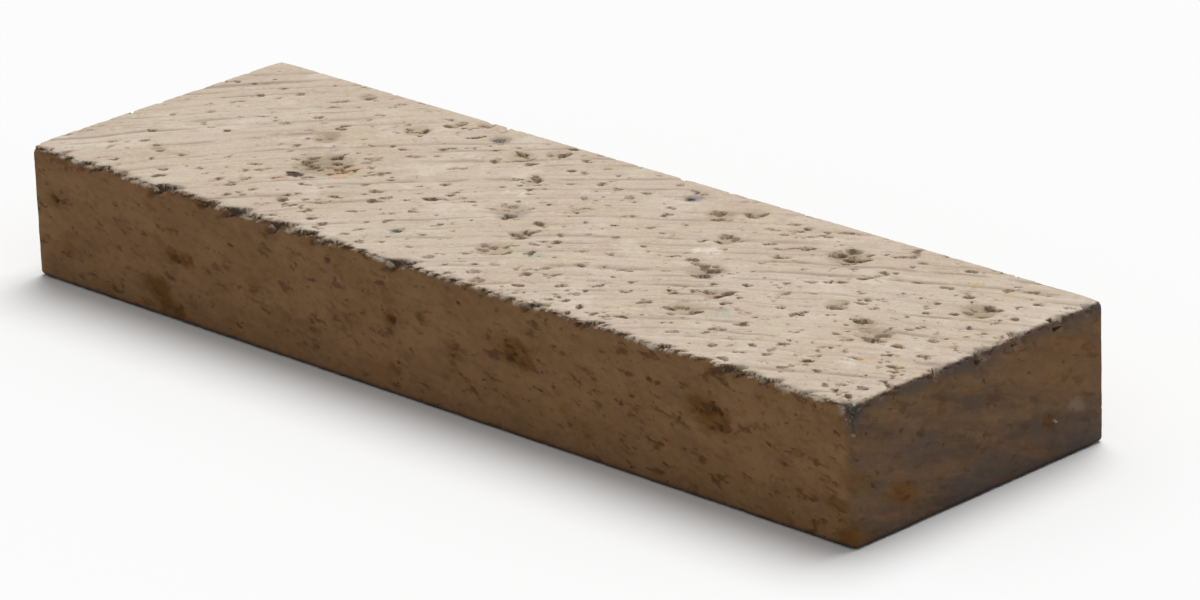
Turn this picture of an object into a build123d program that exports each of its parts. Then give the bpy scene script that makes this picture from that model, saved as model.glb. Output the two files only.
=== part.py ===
"""Sawn tuff slab, 120 x 37 x 15 cm: a block of volcanic stone with broken arrises and open vugs.

Millimetres. X runs along the length, Y across the width and Z up.
The origin is at the middle of the lower bed face.
"""

import os

from build123d import *

# Sawn size of the block
LENGTH = 1200.0
WIDTH = 370.0
THICKNESS = 150.0

# Wear of the edges: upright corners, arrises of both bed faces, and the two upper arrises that are broken away
CORNER_RADIUS = 6.0
ARRIS_RADIUS = 4.0
BROKEN_ARRIS_RADIUS = 9.0

# Notches broken out of the upper arrises: the length along the arris, and the depth from its sharp edge
DEEP_NOTCH_LENGTH = 36.0
DEEP_NOTCH_DEPTH = 10.0
SHALLOW_NOTCH_LENGTH = 28.0
SHALLOW_NOTCH_DEPTH = 7.0

# Spall that took the upper corner between the front and the right end
SPALL_LENGTH = 100.0
SPALL_DEPTH = 18.0

# Mouth and depth of the vugs, the hollows left where soft lumps fell out of the stone
CRATER_MOUTH = 78.0
CRATER_DEPTH = 6.0
LARGE_VUG_MOUTH = 48.0
LARGE_VUG_DEPTH = 5.0
SMALL_VUG_MOUTH = 28.0
SMALL_VUG_DEPTH = 5.0
FLAT_VUG_MOUTH = 36.0
FLAT_VUG_DEPTH = 2.0

# Pores, the small pits of the upper bed: width of the mouth over its corners, depth and number of sides,
# the lean of the sides, and the turn from one pore to the next, in degrees
PORE_MOUTH = 15.0
PORE_DEPTH = 3.5
PORE_SIDES = 5
PORE_LEAN = 35.0
PORE_TURN = 27.0

DEEP = (DEEP_NOTCH_LENGTH, DEEP_NOTCH_DEPTH)
SHALLOW = (SHALLOW_NOTCH_LENGTH, SHALLOW_NOTCH_DEPTH)
CRATER = (CRATER_MOUTH, CRATER_DEPTH)
LARGE = (LARGE_VUG_MOUTH, LARGE_VUG_DEPTH)
SMALL = (SMALL_VUG_MOUTH, SMALL_VUG_DEPTH)
FLAT = (FLAT_VUG_MOUTH, FLAT_VUG_DEPTH)

# Notches, as shares of the arris: the front from its left end, the right end from the front
FRONT_NOTCHES = [
    (0.083, SHALLOW),
    (0.175, DEEP),
    (0.237, SHALLOW),
    (0.272, DEEP),
    (0.327, DEEP),
    (0.358, SHALLOW),
    (0.477, DEEP),
    (0.638, SHALLOW),
    (0.704, SHALLOW),
    (0.788, SHALLOW),
    (0.862, DEEP),
    (0.908, SHALLOW),
]
END_NOTCHES = [
    (0.34, SHALLOW),
    (0.52, DEEP),
    (0.67, DEEP),
    (0.83, DEEP),
]

# Vugs, as shares of the face: the upper bed from its front left corner, the others from their lower left
BED_VUGS = [
    (0.248, 0.43, CRATER),
    (0.461, 0.49, LARGE),
    (0.694, 0.50, LARGE),
    (0.767, 0.81, LARGE),
    (0.910, 0.42, LARGE),
    (0.936, 0.72, LARGE),
    (0.243, 0.81, SMALL),
    (0.368, 0.83, SMALL),
    (0.422, 0.71, SMALL),
    (0.512, 0.37, SMALL),
    (0.518, 0.24, SMALL),
    (0.612, 0.82, SMALL),
    (0.657, 0.71, SMALL),
    (0.737, 0.37, SMALL),
    (0.743, 0.25, SMALL),
    (0.138, 0.92, SMALL),
    (0.321, 0.90, SMALL),
    (0.387, 0.91, SMALL),
    (0.564, 0.89, SMALL),
    (0.632, 0.91, SMALL),
]
FRONT_VUGS = [
    (0.167, 0.21, FLAT),
    (0.192, 0.50, FLAT),
    (0.464, 0.55, FLAT),
    (0.618, 0.60, FLAT),
    (0.843, 0.61, FLAT),
]
END_VUGS = [
    (0.20, 0.24, FLAT),
    (0.76, 0.31, FLAT),
]

# Main pores of the upper bed, as shares of its length and width from the front left corner
PORES = [
    (0.182, 0.94), (0.261, 0.89), (0.451, 0.92), (0.532, 0.95), (0.692, 0.91), (0.825, 0.91),
    (0.871, 0.94), (0.925, 0.89), (0.965, 0.86), (0.086, 0.82), (0.429, 0.84), (0.455, 0.76),
    (0.521, 0.84), (0.565, 0.79), (0.669, 0.84), (0.694, 0.76), (0.852, 0.78), (0.883, 0.81),
    (0.062, 0.74), (0.147, 0.70), (0.196, 0.60), (0.311, 0.68), (0.343, 0.64), (0.489, 0.69),
    (0.586, 0.64), (0.725, 0.69), (0.812, 0.72), (0.783, 0.61), (0.846, 0.59), (0.971, 0.74),
    (0.057, 0.54), (0.136, 0.60), (0.190, 0.49), (0.369, 0.53), (0.613, 0.52), (0.833, 0.52),
    (0.879, 0.48), (0.954, 0.48), (0.038, 0.45), (0.386, 0.42), (0.967, 0.38), (0.196, 0.30),
    (0.313, 0.38), (0.353, 0.34), (0.397, 0.31), (0.538, 0.34), (0.763, 0.34), (0.804, 0.41),
    (0.896, 0.34), (0.071, 0.24), (0.101, 0.22), (0.279, 0.18), (0.313, 0.25), (0.355, 0.20),
    (0.396, 0.21), (0.423, 0.17), (0.588, 0.22), (0.627, 0.15), (0.808, 0.25), (0.846, 0.16),
    (0.904, 0.16), (0.929, 0.26), (0.142, 0.10), (0.221, 0.14), (0.250, 0.10), (0.342, 0.09),
    (0.394, 0.11), (0.490, 0.08), (0.546, 0.08), (0.600, 0.08), (0.650, 0.13), (0.717, 0.09),
    (0.775, 0.09), (0.821, 0.09), (0.869, 0.13), (0.925, 0.13),
]

RIGHTWARD = Vector(1, 0, 0)
BACKWARD = Vector(0, 1, 0)
UPWARD = Vector(0, 0, 1)


def sawn_block():
    """The block as it leaves the saw, with its upright corners and bed arrises worn round."""
    block = Box(LENGTH, WIDTH, THICKNESS, align=(Align.CENTER, Align.CENTER, Align.MIN))
    block = fillet(block.edges().filter_by(Axis.Z), CORNER_RADIUS)
    beds = block.faces().filter_by(Axis.Z)
    return fillet(beds.edges(), ARRIS_RADIUS)


def scoop(point, outward, sideways, mouth, depth):
    """A ball that bites so deep into the stone at a point, leaving a mouth of the given width across."""
    radius = (mouth**2 / 4 + depth**2) / (2 * depth)
    centre = point + outward.normalized() * (radius - depth)
    return Plane(origin=centre, x_dir=outward, z_dir=sideways) * Sphere(radius)


def broken_arris(start, along, inward):
    """The stone lost along an upper arris: a square bar less the round one that stays."""
    axis = Plane(start + along * 0.5 + (inward - UPWARD) * BROKEN_ARRIS_RADIUS, x_dir=inward, z_dir=along)
    outer_quarter = (Align.MAX, Align.MIN, Align.CENTER)
    bar = Box(BROKEN_ARRIS_RADIUS, BROKEN_ARRIS_RADIUS, along.length, align=outer_quarter)
    return axis * (bar - Cylinder(BROKEN_ARRIS_RADIUS, along.length))


def broken_arrises():
    """The stone lost along the upper front arris and the upper right arris."""
    front_left = Vector(-LENGTH / 2, -WIDTH / 2, THICKNESS)
    front_right = Vector(LENGTH / 2, -WIDTH / 2, THICKNESS)
    return [
        broken_arris(front_left, RIGHTWARD * LENGTH, BACKWARD),
        broken_arris(front_right, BACKWARD * WIDTH, -RIGHTWARD),
    ]


def arris_notches():
    """The notches of the upper front arris and of the upper right arris."""
    front_left = Vector(-LENGTH / 2, -WIDTH / 2, THICKNESS)
    front_right = Vector(LENGTH / 2, -WIDTH / 2, THICKNESS)
    notches = []
    for share, size in FRONT_NOTCHES:
        point = front_left + RIGHTWARD * (LENGTH * share)
        notches.append(scoop(point, UPWARD - BACKWARD, RIGHTWARD, *size))
    for share, size in END_NOTCHES:
        point = front_right + BACKWARD * (WIDTH * share)
        notches.append(scoop(point, UPWARD + RIGHTWARD, BACKWARD, *size))
    return notches


def corner_spall():
    """The bite out of the upper corner between the front and the right end."""
    corner = Vector(LENGTH / 2, -WIDTH / 2, THICKNESS)
    outward = RIGHTWARD - BACKWARD + UPWARD
    return scoop(corner, outward, RIGHTWARD + BACKWARD, SPALL_LENGTH, SPALL_DEPTH)


def vugs_on(corner, along, across, places):
    """Shallow scoops on the face that two edge vectors span from a corner."""
    outward = along.cross(across)
    return [
        scoop(corner + along * share_along + across * share_across, outward, along, *size)
        for share_along, share_across, size in places
    ]


def vugs():
    """The hollows on the upper bed face, the front and the right end."""
    length, width, height = RIGHTWARD * LENGTH, BACKWARD * WIDTH, UPWARD * THICKNESS
    front_left = Vector(-LENGTH / 2, -WIDTH / 2, 0)
    front_right = front_left + length
    return [
        *vugs_on(front_left + height, length, width, BED_VUGS),
        *vugs_on(front_left, length, height, FRONT_VUGS),
        *vugs_on(front_right, width, height, END_VUGS),
    ]


def pores():
    """The main pits of the upper bed, each with flat sides that lean in to a narrow floor."""
    front_left = Vector(-LENGTH / 2, -WIDTH / 2, THICKNESS)
    pits = []
    for number, (share_along, share_across) in enumerate(PORES):
        point = front_left + RIGHTWARD * (LENGTH * share_along) + BACKWARD * (WIDTH * share_across)
        mouth = Pos(point) * RegularPolygon(PORE_MOUTH / 2, PORE_SIDES, rotation=number * PORE_TURN)
        pits.append(extrude(mouth, -PORE_DEPTH, taper=PORE_LEAN))
    return pits


def tuff_slab():
    """The whole slab, one solid."""
    return sawn_block() - [*broken_arrises(), *arris_notches(), corner_spall(), *vugs(), *pores()]


slab = tuff_slab()
os.makedirs("parts", exist_ok=True)
export_step(slab, "parts/tuff_slab.step")
print("tuff_slab", slab.bounding_box().size, "volume in litres", round(slab.volume / 1e6, 3))
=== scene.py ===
"""Looks of the sawn tuff slab: worn and chipped arrises, saw marks, pores, vugs and the stone's colours.

Metres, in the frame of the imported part: X along the slab, Y from front to back, Z up from the lower bed face.
"""

import math
from typing import NamedTuple

import bpy
from mathutils import Matrix, Vector


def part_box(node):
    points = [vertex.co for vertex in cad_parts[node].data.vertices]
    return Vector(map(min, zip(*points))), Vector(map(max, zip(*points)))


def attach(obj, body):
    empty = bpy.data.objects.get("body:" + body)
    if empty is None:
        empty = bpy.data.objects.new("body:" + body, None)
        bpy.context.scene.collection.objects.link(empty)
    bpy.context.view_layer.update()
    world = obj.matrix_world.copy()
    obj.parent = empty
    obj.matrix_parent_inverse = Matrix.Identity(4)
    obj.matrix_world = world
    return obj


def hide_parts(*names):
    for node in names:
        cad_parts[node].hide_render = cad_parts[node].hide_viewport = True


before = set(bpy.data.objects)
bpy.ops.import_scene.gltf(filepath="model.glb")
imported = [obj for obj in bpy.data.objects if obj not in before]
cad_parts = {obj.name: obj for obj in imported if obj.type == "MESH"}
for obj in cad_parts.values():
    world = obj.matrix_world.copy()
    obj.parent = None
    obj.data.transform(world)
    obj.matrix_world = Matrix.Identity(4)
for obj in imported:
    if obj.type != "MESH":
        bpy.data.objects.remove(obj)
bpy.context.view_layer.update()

MM = 0.001


class Cloud(NamedTuple):
    """A cloudy noise: the size of its lumps, its detail and roughness, and a shift to a part of its own."""

    size: float
    detail: float = 2.0
    roughness: float = 0.5
    shift: tuple = None


class Coat(NamedTuple):
    """A coat of colour on the stone.

    A coat over a cloudy value begins and is full at two limits. Its strength may change at the right end.
    """

    strength: float
    tint: tuple
    begins: float = None
    full: float = None
    end_strength: float = None


# The blank, from the frame
LOW, HIGH = (Vector(corner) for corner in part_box("tuff_slab"))
LENGTH, WIDTH, THICKNESS = HIGH - LOW

# Mesh: the pitch of the first even grid, and the most triangles that stay after thinning
GRID_STEP = 1.5 * MM
MOST_TRIANGLES = 190_000
ROUNDING = 0.5
SEED = 4.0
SEED_DIRECTION = (1.0, 0.7, 0.3)

# Throughout: limits are the values at which a form begins and is full, with its least and most strength where
# they are not 0 and 1. A warp is the size of its swirls and how far it pushes a place.

# Wear of the arrises: how far each is broken up, from clean at 0, and the shares of the length,
# counted from the middle, between which the front changes
FRONT_LEFT_WEAR, FRONT_RIGHT_WEAR = 1.0, 0.6
FRONT_WEAR_SHARES = (-0.15, 0.25)
RIGHT_WEAR, BACK_WEAR, LEFT_WEAR, LOWER_WEAR = 0.7, 0.12, 0.1, 0.15
WEAR_REACH = 25.0 * MM
EDGE_REACH = 14.0 * MM
ARRIS_RADIUS = 3.5 * MM
CORNER_RADIUS = 6.0 * MM

# Slant of everything along the upper arrises, and the wander of the run along them
FRONT_SLANT, END_SLANT = 1.2, 0.5
RUN_CLOUDS = Cloud(12.0 * MM)
RUN_WANDER = 12.0 * MM
SIDES_APART = 7.7

# Notches, and the chips between them
NOTCH_DEPTH = 9.0 * MM
NOTCH_WARP = (11.0 * MM, 16.0 * MM)
NOTCH_LIMITS = (1.0, 0.5)
CHIP_SPACING = 22.0 * MM
CHIP_LENGTH_LEAST, CHIP_LENGTH_MOST = 4.0 * MM, 16.0 * MM
CHIP_REACH_LEAST, CHIP_REACH_MOST = 4.0 * MM, 10.0 * MM
CHIP_DEPTH = 5.0 * MM
CHIP_DEPTH_LEAST_SHARE = 0.4
CHIP_FLOOR_SHARE = 0.4
CHIP_FLOOR_REACH = 1.0 * MM
CHIP_CHANCE_LIMITS = (0.0, 0.1)
# Limits of the painted shade in the chips and notches
CHIP_SHOWN_LIMITS = (0.2, 0.55)

# Ragged strands across the upper arrises, roughest at the front, and the slow waves of the edge
STRANDS = Cloud(10.0 * MM, 3.0, 0.6)
STRAND_STRETCH = 0.4
RAGGED_DEPTH = 4.0 * MM
RAGGED_REACH = 10.0 * MM
RAGGED_LIMITS = (0.42, 0.64)
RAGGED_LEAST = 0.05
ROUGH_FRONT_LIMITS = (40.0 * MM, 5.0 * MM, 0.3, 1.0)
WAVES = Cloud(75.0 * MM, 3.0)
WAVE_LIMITS = (0.42, 0.62)
WAVE_SHARE = 0.7
# Gaps between the ragged strands, painted dark as shade together with the chips
GAP_LIMITS = (0.5, 0.85)
GAP_STRENGTH = 0.8

# Spalled corner
SPALL_RADIUS = 36.0 * MM
SPALL_DEPTH = 10.0 * MM
SPALL_FADE = 10.0 * MM
SPALL_FLOOR = 14.0 * MM
SPALL_WANDER = 22.0 * MM
SPALL_TEETH = 0.15

# Outer edge of the sawn skin of the beds
TOOTH_MIDDLE = 0.55
TOOTH_LENGTH = 9.0 * MM
SKIN_WANDER = 14.0 * MM
RIGHT_SETBACK = 6.0 * MM
CHIP_SETBACK = 14.0 * MM
SPALL_SETBACK = 10.0 * MM
LOWER_SETBACK = 5.0 * MM
SKIN_LIMITS = (-1.0 * MM, 1.5 * MM)

# Saw marks: arcs about the middle of the saw blade's swing
SAW_CENTRE = (1.15, -1.35)
SAW_MEAN_RADIUS = 1.77
SAW_WARP = (70.0 * MM, 16.0 * MM)
BEDS_APART = 7.0
MARK_PITCH = 24.0 * MM
MARK_WIDTH = 10.0 * MM
MARK_LENGTH = 300.0 * MM
MARK_DEPTH = 1.0 * MM
SCRATCH_PITCH = 11.0 * MM
SCRATCH_WIDTH = 4.0 * MM
SCRATCH_LENGTH = 110.0 * MM
SCRATCH_DEPTH = 0.5 * MM
# Single lines: their wander in pitches, how fast it changes across and along, and how they last and break
LINE_WANDER = 2.0
LINE_WANDER_ACROSS, LINE_WANDER_ALONG = 0.4, 0.5
LINES_APART, BREAKS_APART = 5.3, 3.1
BREAKS_IN_LENGTH = 5.0
LASTING_LIMITS = (0.42, 0.60)
BREAK_LIMITS = (0.40, 0.58, 0.15, 1.0)
EVEN_CLOUDS = Cloud(1.0)

# Bedding of the stone: its tilts, and how flat forms lie along it
BEDDING_TILT = (math.radians(18.0), math.radians(-7.0))
FLATTENING = 1.8
BEDDING = (
    Matrix.Diagonal((1.0, 1.0, FLATTENING))
    @ Matrix.Rotation(BEDDING_TILT[1], 3, "Y")
    @ Matrix.Rotation(BEDDING_TILT[0], 3, "X")
)

# Pits: drawn out along the saw's arcs on the beds, lying along the bedding on the sides.
# Paired values are for the sides and for the beds.
DRAWN_ACROSS, DRAWN_ALONG = 1.25, 0.75
LYING_STRETCH = 0.95
PIT_WARP = (9.0 * MM, 7.0 * MM)
COARSE_PITS = Cloud(22.0 * MM, 3.0)
COARSE_THRESHOLDS = (0.700, 0.662)
COARSE_MORE_IN_VUGS = 0.03
FINE_PITS = Cloud(13.0 * MM, 3.0, shift=(5.0, 0.0, 0.0))
FINE_THRESHOLDS = (0.685, 0.652)
FINE_MORE_IN_VUGS = (0.12, 0.08)
PORE_STRENGTH = 0.22
PORE_THRESHOLD = 0.12
PORE_UNEVENNESS = 0.35
PIT_PATCHES = Cloud(130.0 * MM)
MORE_IN_PATCHES = 0.10
MORE_TO_RIGHT, LESS_TO_BACK = 0.025, 0.015
MORE_AT_EDGES = 0.03
PIT_DEPTH = 4.0 * MM
PIT_LIMITS = (-0.015, 0.08)
PIT_NARROWING = 1.7
PORE_REACH = 8.5
PORE_LIMITS = (1.3, 0.3)
SIDE_DEPTH_SHARE = 0.45
PLAIN_BELOW_LIMITS = (20.0 * MM, 60.0 * MM, 0.4, 1.0)
VUG_DEPTH = 2.5 * MM
VUG_WARP = (16.0 * MM, 16.0 * MM)
VUG_LIMITS = (1.0, 0.45)
VUG_DEEPER_PITS = 0.7
UNEVENNESS = Cloud(40.0 * MM, 3.0)
UNEVENNESS_DEPTH = 1.5 * MM

# Vugs, in millimetres: rough hollows. On the upper bed: from the left end, from the front, reach.
BED_VUGS = [
    (298, 156, 46), (556, 180, 27), (834, 180, 27), (615, 137, 17), (887, 139, 17), (622, 89, 24),
    (891, 90, 24), (292, 299, 22), (441, 310, 20), (733, 307, 20), (919, 302, 29), (506, 262, 14),
    (790, 261, 14), (464, 338, 18), (757, 336, 18), (1088, 154, 26), (1123, 268, 25), (235, 220, 20),
    (338, 359, 12), (168, 342, 14), (385, 333, 14), (675, 330, 14), (119, 80, 11), (1003, 191, 18),
    (1060, 170, 16),
]
# Dark slots in those hollows, in the same measures
BED_SLOTS = [
    (292, 117, 13), (311, 119, 10), (277, 135, 7), (271, 155, 11), (258, 152, 7), (292, 186, 9),
    (328, 190, 9), (345, 180, 7), (353, 171, 6), (316, 162, 8), (288, 98, 6), (280, 300, 9),
    (299, 307, 10), (306, 289, 7), (338, 359, 9), (382, 334, 9), (168, 345, 9), (471, 345, 10),
    (458, 333, 8), (476, 327, 6), (445, 302, 10), (437, 318, 9), (510, 267, 10), (501, 254, 6),
    (545, 193, 9), (536, 190, 7), (562, 175, 10), (560, 186, 7), (567, 160, 8), (577, 167, 6),
    (618, 94, 9), (612, 82, 9), (606, 93, 6), (640, 88, 8), (623, 136, 9), (607, 137, 8),
    (672, 330, 9), (736, 302, 10), (724, 317, 8), (764, 342, 10), (751, 331, 8), (793, 268, 10),
    (786, 252, 7), (913, 318, 11), (906, 303, 9), (931, 286, 9), (932, 320, 8), (822, 193, 9),
    (813, 190, 7), (839, 175, 10), (837, 186, 7), (843, 160, 8), (854, 167, 6), (893, 139, 9),
    (880, 140, 8), (883, 93, 9), (878, 83, 9), (906, 90, 8), (1000, 191, 7), (1013, 192, 7),
    (1052, 175, 8), (1068, 164, 9), (1092, 163, 11), (1085, 145, 9), (1105, 145, 9), (1115, 261, 10),
    (1137, 264, 8), (1125, 280, 8),
]
# On the front: from the left end, above the floor, reach
FRONT_VUGS = [
    (742, 90, 22), (1011, 92, 24), (200, 31, 16), (557, 83, 14), (231, 75, 16), (54, 44, 12),
    (231, 12, 12), (35, 95, 12),
]
# On the right end: from the front, above the floor, reach
END_VUGS = [(72, 35, 18), (283, 47, 13), (60, 140, 10)]
# Main pores of the upper bed, as shares of its length and width from the front left corner
PORES = [
    (0.182, 0.94), (0.261, 0.89), (0.451, 0.92), (0.532, 0.95), (0.692, 0.91), (0.825, 0.91),
    (0.871, 0.94), (0.925, 0.89), (0.965, 0.86), (0.086, 0.82), (0.429, 0.84), (0.455, 0.76),
    (0.521, 0.84), (0.565, 0.79), (0.669, 0.84), (0.694, 0.76), (0.852, 0.78), (0.883, 0.81),
    (0.062, 0.74), (0.147, 0.70), (0.196, 0.60), (0.311, 0.68), (0.343, 0.64), (0.489, 0.69),
    (0.586, 0.64), (0.725, 0.69), (0.812, 0.72), (0.783, 0.61), (0.846, 0.59), (0.971, 0.74),
    (0.057, 0.54), (0.136, 0.60), (0.190, 0.49), (0.369, 0.53), (0.613, 0.52), (0.833, 0.52),
    (0.879, 0.48), (0.954, 0.48), (0.038, 0.45), (0.386, 0.42), (0.967, 0.38), (0.196, 0.30),
    (0.313, 0.38), (0.353, 0.34), (0.397, 0.31), (0.538, 0.34), (0.763, 0.34), (0.804, 0.41),
    (0.896, 0.34), (0.071, 0.24), (0.101, 0.22), (0.279, 0.18), (0.313, 0.25), (0.355, 0.20),
    (0.396, 0.21), (0.423, 0.17), (0.588, 0.22), (0.627, 0.15), (0.808, 0.25), (0.846, 0.16),
    (0.904, 0.16), (0.929, 0.26), (0.142, 0.10), (0.221, 0.14), (0.250, 0.10), (0.342, 0.09),
    (0.394, 0.11), (0.490, 0.08), (0.546, 0.08), (0.600, 0.08), (0.650, 0.13), (0.717, 0.09),
    (0.775, 0.09), (0.821, 0.09), (0.869, 0.13), (0.925, 0.13),
]
# Notches, in millimetres and with their reach: on the upper front arris from the left end,
# on the upper right arris from the front
FRONT_NOTCHES = [
    (90, 9), (112, 10), (210, 17), (252, 8), (285, 12), (326, 17), (392, 16), (430, 12), (470, 8), (572, 16),
    (765, 12), (845, 12), (946, 9), (1035, 14), (1057, 10), (1090, 9),
]
END_NOTCHES = [(62, 9), (126, 12), (193, 17), (248, 15), (307, 15), (350, 9)]

# Stains, in millimetres: two measures of the place as for vugs, reach, colour, strength
PINK, TAN, TAWNY = (0.52, 0.30, 0.20), (0.55, 0.37, 0.19), (0.21, 0.105, 0.035)
OLIVE, GREEN_GREY, BLUE_GREY = (0.26, 0.20, 0.115), (0.40, 0.43, 0.36), (0.26, 0.27, 0.31)
# SLOT_SHADE is painted shade, near black, for a dark slot in the big vug of the upper bed
WHITISH, SLATE, SLOT_SHADE = (0.74, 0.67, 0.57), (0.070, 0.060, 0.057), (0.040, 0.032, 0.028)
AMBER, OCHRE = (0.140, 0.060, 0.010), (0.118, 0.051, 0.008)
RUST, UMBER = (0.080, 0.028, 0.008), (0.050, 0.018, 0.002)
# On the upper bed; the SLOT_SHADE entry is no stain but painted shade in a slot
BED_STAINS = [
    (292, 160, 46, OLIVE, 0.45), (328, 156, 28, TAN, 0.6), (338, 138, 15, PINK, 0.4),
    (289, 99, 13, PINK, 0.6), (292, 117, 11, SLOT_SHADE, 1.8), (235, 222, 18, OLIVE, 0.25),
    (385, 333, 16, BLUE_GREY, 0.7), (677, 330, 16, BLUE_GREY, 0.7), (504, 62, 12, BLUE_GREY, 0.8),
    (668, 100, 16, GREEN_GREY, 0.6), (935, 100, 16, GREEN_GREY, 0.6), (562, 176, 20, BLUE_GREY, 0.4),
    (838, 176, 20, BLUE_GREY, 0.4), (919, 302, 30, OLIVE, 0.5), (1125, 270, 26, OLIVE, 0.4),
    (525, 228, 15, WHITISH, 0.7), (512, 218, 9, WHITISH, 0.7), (800, 228, 15, WHITISH, 0.7),
    (787, 218, 9, WHITISH, 0.7), (1127, 97, 13, TAN, 0.6), (1167, 97, 15, TAN, 0.5),
    (1075, 318, 11, TAN, 0.5), (1112, 330, 11, TAN, 0.5), (1105, 160, 12, TAN, 0.4),
]
FRONT_STAINS = [
    (738, 92, 38, OCHRE, 1.0), (758, 82, 17, OCHRE, 1.3), (735, 95, 8, UMBER, 1.2),
    (752, 83, 8, UMBER, 1.2), (1006, 95, 40, OCHRE, 1.0), (1026, 86, 18, OCHRE, 1.3),
    (1004, 97, 9, UMBER, 1.4), (1023, 85, 9, UMBER, 1.6), (220, 73, 18, OCHRE, 0.85),
    (246, 74, 20, OCHRE, 1.1), (197, 32, 32, OCHRE, 1.1), (216, 14, 27, OCHRE, 1.3),
    (178, 12, 13, OCHRE, 1.0), (35, 95, 24, OCHRE, 0.6), (1176, 44, 24, OCHRE, 0.7),
    (1190, 8, 24, OCHRE, 0.9), (650, 70, 26, OCHRE, 0.4), (560, 28, 14, OCHRE, 0.9),
    (590, 25, 12, OCHRE, 0.6), (558, 83, 12, OCHRE, 0.9), (555, 105, 14, OCHRE, 0.5),
    (350, 75, 22, OCHRE, 0.4), (830, 30, 22, OCHRE, 0.45),
]
END_STAINS = [
    (72, 38, 30, AMBER, 1.0), (65, 42, 10, OCHRE, 0.9), (8, 70, 30, AMBER, 0.6),
    (6, 14, 28, AMBER, 0.9), (290, 110, 110, TAWNY, 0.26), (330, 95, 70, TAWNY, 0.22),
    (90, 75, 70, SLATE, 0.30), (200, 5, 90, SLATE, 0.45), (340, 10, 80, SLATE, 0.5),
    (283, 48, 15, RUST, 0.9), (293, 45, 5, WHITISH, 0.4), (330, 52, 20, WHITISH, 0.08),
    (2, 136, 6, WHITISH, 0.8), (2, 119, 6, WHITISH, 0.7), (128, 106, 11, RUST, 0.4),
    (265, 76, 13, RUST, 0.4), (330, 78, 12, RUST, 0.5), (345, 108, 13, RUST, 0.5),
]
STAIN_WARP = (14.0 * MM, 22.0 * MM)
STAIN_CLOUDS = Cloud(20.0 * MM, 4.0, 0.6)
STAIN_LIMITS = (0.40, 0.56, 0.45, 1.0)
STAIN_FULL_SHARE = 0.4

# How open a pit is at its rim and at its core, which is softer on the sides
RIM_LIMITS = (-0.045, 0.02)
CORE_LIMITS = (-0.015, 0.065)
SOFT_CORE_LIMITS = (-0.025, 0.075)

# Colours of the sawn beds
BED_DULL = (0.525, 0.425, 0.325)
BED_CLOUDS = Cloud(90.0 * MM, 3.0)
BED_LIGHT = Coat(1.0, (0.565, 0.475, 0.380), 0.30, 0.70)
BED_HUES = Cloud(38.0 * MM, 3.0, shift=(0.0, 3.0, 0.0))
BED_YELLOWISH = Coat(0.50, (0.550, 0.480, 0.345), 0.52, 0.66)
BED_ROSY = Coat(0.50, (0.565, 0.445, 0.375), 0.48, 0.34)
BED_PATCHES = Cloud(55.0 * MM, 4.0, 0.6)
BED_PALE = Coat(0.60, (0.660, 0.575, 0.475), 0.54, 0.70)
COMBING = Cloud(1.0, 4.0, 0.6)
COMBING_WIDTH, COMBING_LENGTH = 13.0 * MM, 140.0 * MM
COMBED_DARK = Coat(0.28, (0.360, 0.280, 0.200), 0.52, 0.66)
COMBED_LIGHT = Coat(0.30, (0.660, 0.575, 0.470), 0.48, 0.34)
BED_MOTTLE = Cloud(9.0 * MM, 4.0, 0.65)
MOTTLED_BED = Coat(0.30, (0.360, 0.275, 0.195), 0.52, 0.68)
BED_GRAINS = Cloud(5.0 * MM, 3.0, shift=(9.0, 0.0, 0.0))
LIGHT_GRAINS = Coat(0.45, (0.680, 0.600, 0.500), 0.56, 0.70)
# Painted shade: darker colour in the saw's grooves
PAINTED_MARK_SHADE = Coat(0.60, (0.250, 0.190, 0.140))
PAINTED_SCRATCH_SHADE = Coat(0.30, (0.280, 0.210, 0.155))
# Painted shade over the vugs and on the rims and cores of the pits, where shade falls
PAINTED_VUG_SHADE = Coat(0.45, (0.330, 0.245, 0.150))
PAINTED_RIM_SHADE = Coat(0.45, (0.340, 0.240, 0.150))
PAINTED_PIT_SHADE = Coat(1.0, (0.150, 0.106, 0.066))
FAINT_PITS = Cloud(32.0 * MM, shift=(0.0, 0.0, 4.4))
FAINT_LIMITS = (0.40, 0.58, 0.4, 0.85)
VUG_PIT_SHADE = 0.9

# Colours of the sides, brown and in part darkened as painted shade; the right end is greyer and darker, in part
# as painted shade, with layers, a grey foot and a painted strip of shade at its top
SIDE_DARK = (0.190, 0.100, 0.042)
SIDE_BANDS = Cloud(60.0 * MM, 4.0, 0.6)
SIDE_LIGHT = Coat(1.0, (0.222, 0.120, 0.053), 0.35, 0.65)
RUST_CLOUDS = Cloud(34.0 * MM, 4.0, 0.6, shift=(0.0, 0.0, 7.7))
RUSTY_SIDE = Coat(0.35, (0.190, 0.085, 0.016), 0.57, 0.70)
END_BEGINS, END_FULL = 16.0 * MM, 2.0 * MM
# Painted shade with a greyer tone: the right end is made darker than the front, in part for the shade it stands
# in
GREY_AND_SHADED_END = Coat(0.52, (0.086, 0.057, 0.036))
FOOT_CLOUDS = Cloud(50.0 * MM, 3.0)
FOOT_WANDER = 30.0 * MM
FOOT_LIMITS = (70.0 * MM, 10.0 * MM)
END_FOOT = Coat(0.65, (0.050, 0.047, 0.048))
STREAKS = Cloud(24.0 * MM, 4.0, 0.55, shift=(0.0, 3.3, 0.0))
STREAKED_SIDE = Coat(0.35, (0.105, 0.047, 0.013), 0.54, 0.68, end_strength=0.20)
LAYER_WARP = (50.0 * MM, 22.0 * MM)
LAYER_STRETCH = (0.4, 0.4, 1.1)
LAYERS = Cloud(40.0 * MM, 5.0, 0.55)
DARK_LAYERS = Coat(0.12, (0.066, 0.046, 0.035), 0.50, 0.66, end_strength=0.57)
LIGHT_LAYERS = Coat(0.10, (0.205, 0.113, 0.053), 0.50, 0.34, end_strength=0.45)
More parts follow.
